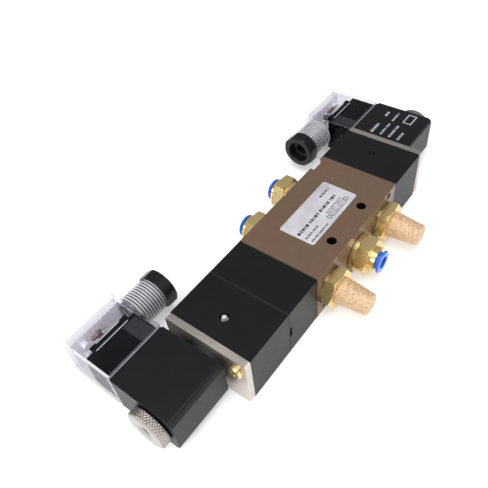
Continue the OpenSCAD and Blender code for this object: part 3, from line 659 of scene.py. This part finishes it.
def insert_details(end):
    """What shows through the clear housing: a shelf, two pale strips that are painted highlights
    where rib edges catch the light, a smoked plate, and the lamp with its legs."""
    low, high = mm_box("connector_insert_" + end)
    side = -1 if end == "near" else 1
    middle = (low.x + high.x) / 2

    def span(x_in, x_out, y0, y1, z0, z1):
        """A box; x_in and x_out are distances from the middle, towards and away from the valve."""
        xs = sorted((middle - side * x_in, middle + side * x_out))
        return (xs[0], y0, z0), (xs[1], y1, z1)

    top = high.z
    shelf = [span(10.6, 9.6, 36.4, 38.95, top - 1.3, top - 0.05)]
    add_piece("connector_insert_%s_shelf" % end, *boxes(shelf), "black_connector")
    # painted highlights: two pale strips, raised a little, for light caught along rib edges
    lines = [span(6.9, 6.2, 38.2, 38.75, top - 0.2, top + 0.1),
             span(9.2, 8.4, 35.4, 35.85, top - 0.2, top + 0.1)]
    add_piece("connector_insert_%s_strips" % end, *boxes(lines), "white_plastic")
    plate = [span(12.6, -5.2, 23.6, 34.6, top - 0.3, top + 0.04)]
    add_piece("connector_insert_%s_plate" % end, *boxes(plate), "black_connector",
              material=SMOKED)
    lamp_y, board_y, lamp_down = 43.6, 46.65, 3.4
    lamp = outwards((middle + side * 1.9, lamp_y, top - lamp_down), (1, 0, 0))
    bulb = [(0, -3.4), (0.7, -3.2), (1.05, -2.6), (1.05, 1.0), (0.8, 1.7), (0.3, 1.9), (0.25, 4.6),
            (0, 4.7)]
    add_piece("connector_lamp_" + end, *turned(bulb, lamp, 32), "white_plastic",
              material=LAMP_ROSE)
    legs = [span(x_in, x_out, lamp_y, board_y, top - 3.55, top - 3.25)
            for x_in, x_out in ((-1.0, 1.4), (2.3, -1.9))]
    add_piece("connector_lamp_legs_" + end, *boxes(legs), "nickel")


for end, side in (("near", -1), ("far", 1)):
    coil_nut(end, side)
    gland_tube(side)
    gland_nut(side)
    silencer_element(end)
    insert_details(end)
name_label()
coil_print()

# ---------------------------------------------------------------- carried-over nodes

EDGES = {   # how wide each node's edges are eased, in millimetres; the others stay sharp
    "valve_body": 0.22, "spring_housing": 0.3, "pilot_cap_near": 0.3, "pilot_cap_far": 0.3,
    "coil_near": 0.35, "coil_far": 0.35,
    "connector_housing_near": 0.4, "connector_housing_far": 0.4, "assembly_screws": 0.1,
    "connector_insert_near": 0.2, "connector_insert_far": 0.2, "fitting_p": 0.15,
    "fitting_a": 0.15, "fitting_b": 0.15, "silencer_base_near": 0.15, "silencer_base_far": 0.15,
    "collet_p": 0.2, "collet_a": 0.2, "collet_b": 0.2,
}
# the armature tubes and fixed cores get steel darkened as painted shade
OWN_MATERIAL = {"connector_gaskets": GREY_GASKET, "armature_tubes": SHADED_STEEL,
                "fixed_cores": SHADED_STEEL}
WELD_WITHIN = 1e-6       # metres
FLAT_WITHIN = 0.4        # degrees between faces that are merged before the edges are eased
EASED_FROM = 35          # degrees between faces, from which an edge is eased
SHARP_FROM = 30          # degrees between faces, from which an edge is sharp where none is eased


def ease_edges(obj, width, shaded_edges):
    """Rounds the edges a little and keeps the faces flat; on clear mouldings the eased edges get
    their own grey material of painted shade.
    """
    flat = obj.modifiers.new("flat_faces", "DECIMATE")
    flat.decimate_type = "DISSOLVE"
    flat.angle_limit = math.radians(FLAT_WITHIN)
    bevel = obj.modifiers.new("eased_edges", "BEVEL")
    bevel.width = width * MM
    bevel.segments = 2
    bevel.limit_method = "ANGLE"
    bevel.angle_limit = math.radians(EASED_FROM)
    bevel.use_clamp_overlap = True
    # painted shade on the eased edges of clear mouldings
    if shaded_edges:
        obj.data.materials.append(EDGE_SHADE)
        bevel.material = 1
    normals = obj.modifiers.new("flat_normals", "WEIGHTED_NORMAL")
    normals.mode = "FACE_AREA"
    normals.weight = 100
    normals.thresh = 0.0


def finish_node(node):
    """Gives a CAD node its material and clean shading, and eases its edges."""
    obj = NODES[node]
    mesh = obj.data
    mesh.materials.clear()
    mesh.materials.append(OWN_MATERIAL.get(node, MATERIALS[SLOT_OF[node]]))
    mesh.polygons.foreach_set("material_index", [0] * len(mesh.polygons))
    mesh.shade_smooth()
    weld = obj.modifiers.new("weld", "WELD")
    weld.merge_threshold = WELD_WITHIN
    if node in EDGES:
        ease_edges(obj, EDGES[node], shaded_edges=SLOT_OF[node] == "clear_plastic")
    else:
        split = obj.modifiers.new("sharp_edges", "EDGE_SPLIT")
        split.split_angle = math.radians(SHARP_FROM)


for node in NODES:
    finish_node(node)

# ---------------------------------------------------------------- stage


VIEW = (-46.968, 47.413, -7.740)          # azimuth, elevation and roll, in degrees
VIEW_DISTANCE = 262.85                    # from the point looked at, in millimetres
VIEW_TARGET = (-26.41, 26.17, 13.5)       # the point looked at, in millimetres
LENS, SENSOR = 40.33, 36.0                # millimetres


def make_camera():
    """The photo's viewpoint: azimuth 0 looks along +Y, and roll turns the picture about its
    middle."""
    azimuth, elevation, roll = (math.radians(a) for a in VIEW)
    distance = VIEW_DISTANCE * MM
    target = Vector(VIEW_TARGET) * MM
    forward = Vector((-math.sin(azimuth) * math.cos(elevation),
                      math.cos(azimuth) * math.cos(elevation), -math.sin(elevation)))
    level = forward.cross(Vector((0, 0, 1))).normalized()
    upright = level.cross(forward)
    right = level * math.cos(roll) + upright * math.sin(roll)
    up = right.cross(forward)
    data = bpy.data.cameras.new("camera")
    data.lens = LENS
    data.sensor_width = SENSOR
    data.clip_start = 0.01
    camera = bpy.data.objects.new("camera", data)
    rotation = Matrix((right, up, -forward)).transposed().to_4x4()
    camera.matrix_world = Matrix.Translation(target - forward * distance) @ rotation
    bpy.context.scene.collection.objects.link(camera)
    bpy.context.scene.camera = camera


def soft_light(name, place, aim, size, power):
    """An area light at place that looks at aim, in metres and watts."""
    data = bpy.data.lights.new(name, "AREA")
    data.shape = "RECTANGLE"
    data.size, data.size_y = size
    data.energy = power
    light = bpy.data.objects.new(name, data)
    light.location = place
    light.rotation_euler = (Vector(aim) - Vector(place)).to_track_quat("-Z", "Y").to_euler()
    bpy.context.scene.collection.objects.link(light)


def make_floor():
    half, gap = 3.0, 0.2 * MM
    floor_z = cad_box[0][2] - gap
    mesh = bpy.data.meshes.new("floor")
    corners = [(-half, -half, floor_z), (half, -half, floor_z), (half, half, floor_z),
               (-half, half, floor_z)]
    mesh.from_pydata(corners, [], [(0, 1, 2, 3)])
    mesh.materials.append(studio_floor("floor"))
    floor = bpy.data.objects.new("floor", mesh)
    bpy.context.scene.collection.objects.link(floor)


def make_light():
    """A white sky that the camera sees brighter than it shines, and three soft lights."""
    shines, seen_as = 0.35, 1.0
    world = bpy.data.worlds.new("studio")
    world.use_nodes = True
    tree = world.node_tree
    tree.nodes["Background"].inputs["Color"].default_value = (1, 1, 1, 1)
    seen = tree.nodes.new("ShaderNodeMapRange")
    seen.inputs["To Min"].default_value = shines
    seen.inputs["To Max"].default_value = seen_as
    path = tree.nodes.new("ShaderNodeLightPath")
    tree.links.new(path.outputs["Is Camera Ray"], seen.inputs["Value"])
    tree.links.new(seen.outputs["Result"], tree.nodes["Background"].inputs["Strength"])
    bpy.context.scene.world = world
    soft_light("top", (-0.2, -0.1, 0.9), (0, 0, 0), (0.7, 0.7), 5.5)
    soft_light("left", (-0.8, 0.2, 0.45), (0, 0, 0.01), (0.6, 0.4), 3.5)
    soft_light("front", (0.1, -0.9, 0.35), (0, 0, 0.01), (0.9, 0.35), 3.6)
    bpy.context.scene.view_settings.view_transform = "Standard"


make_camera()
make_floor()
make_light()
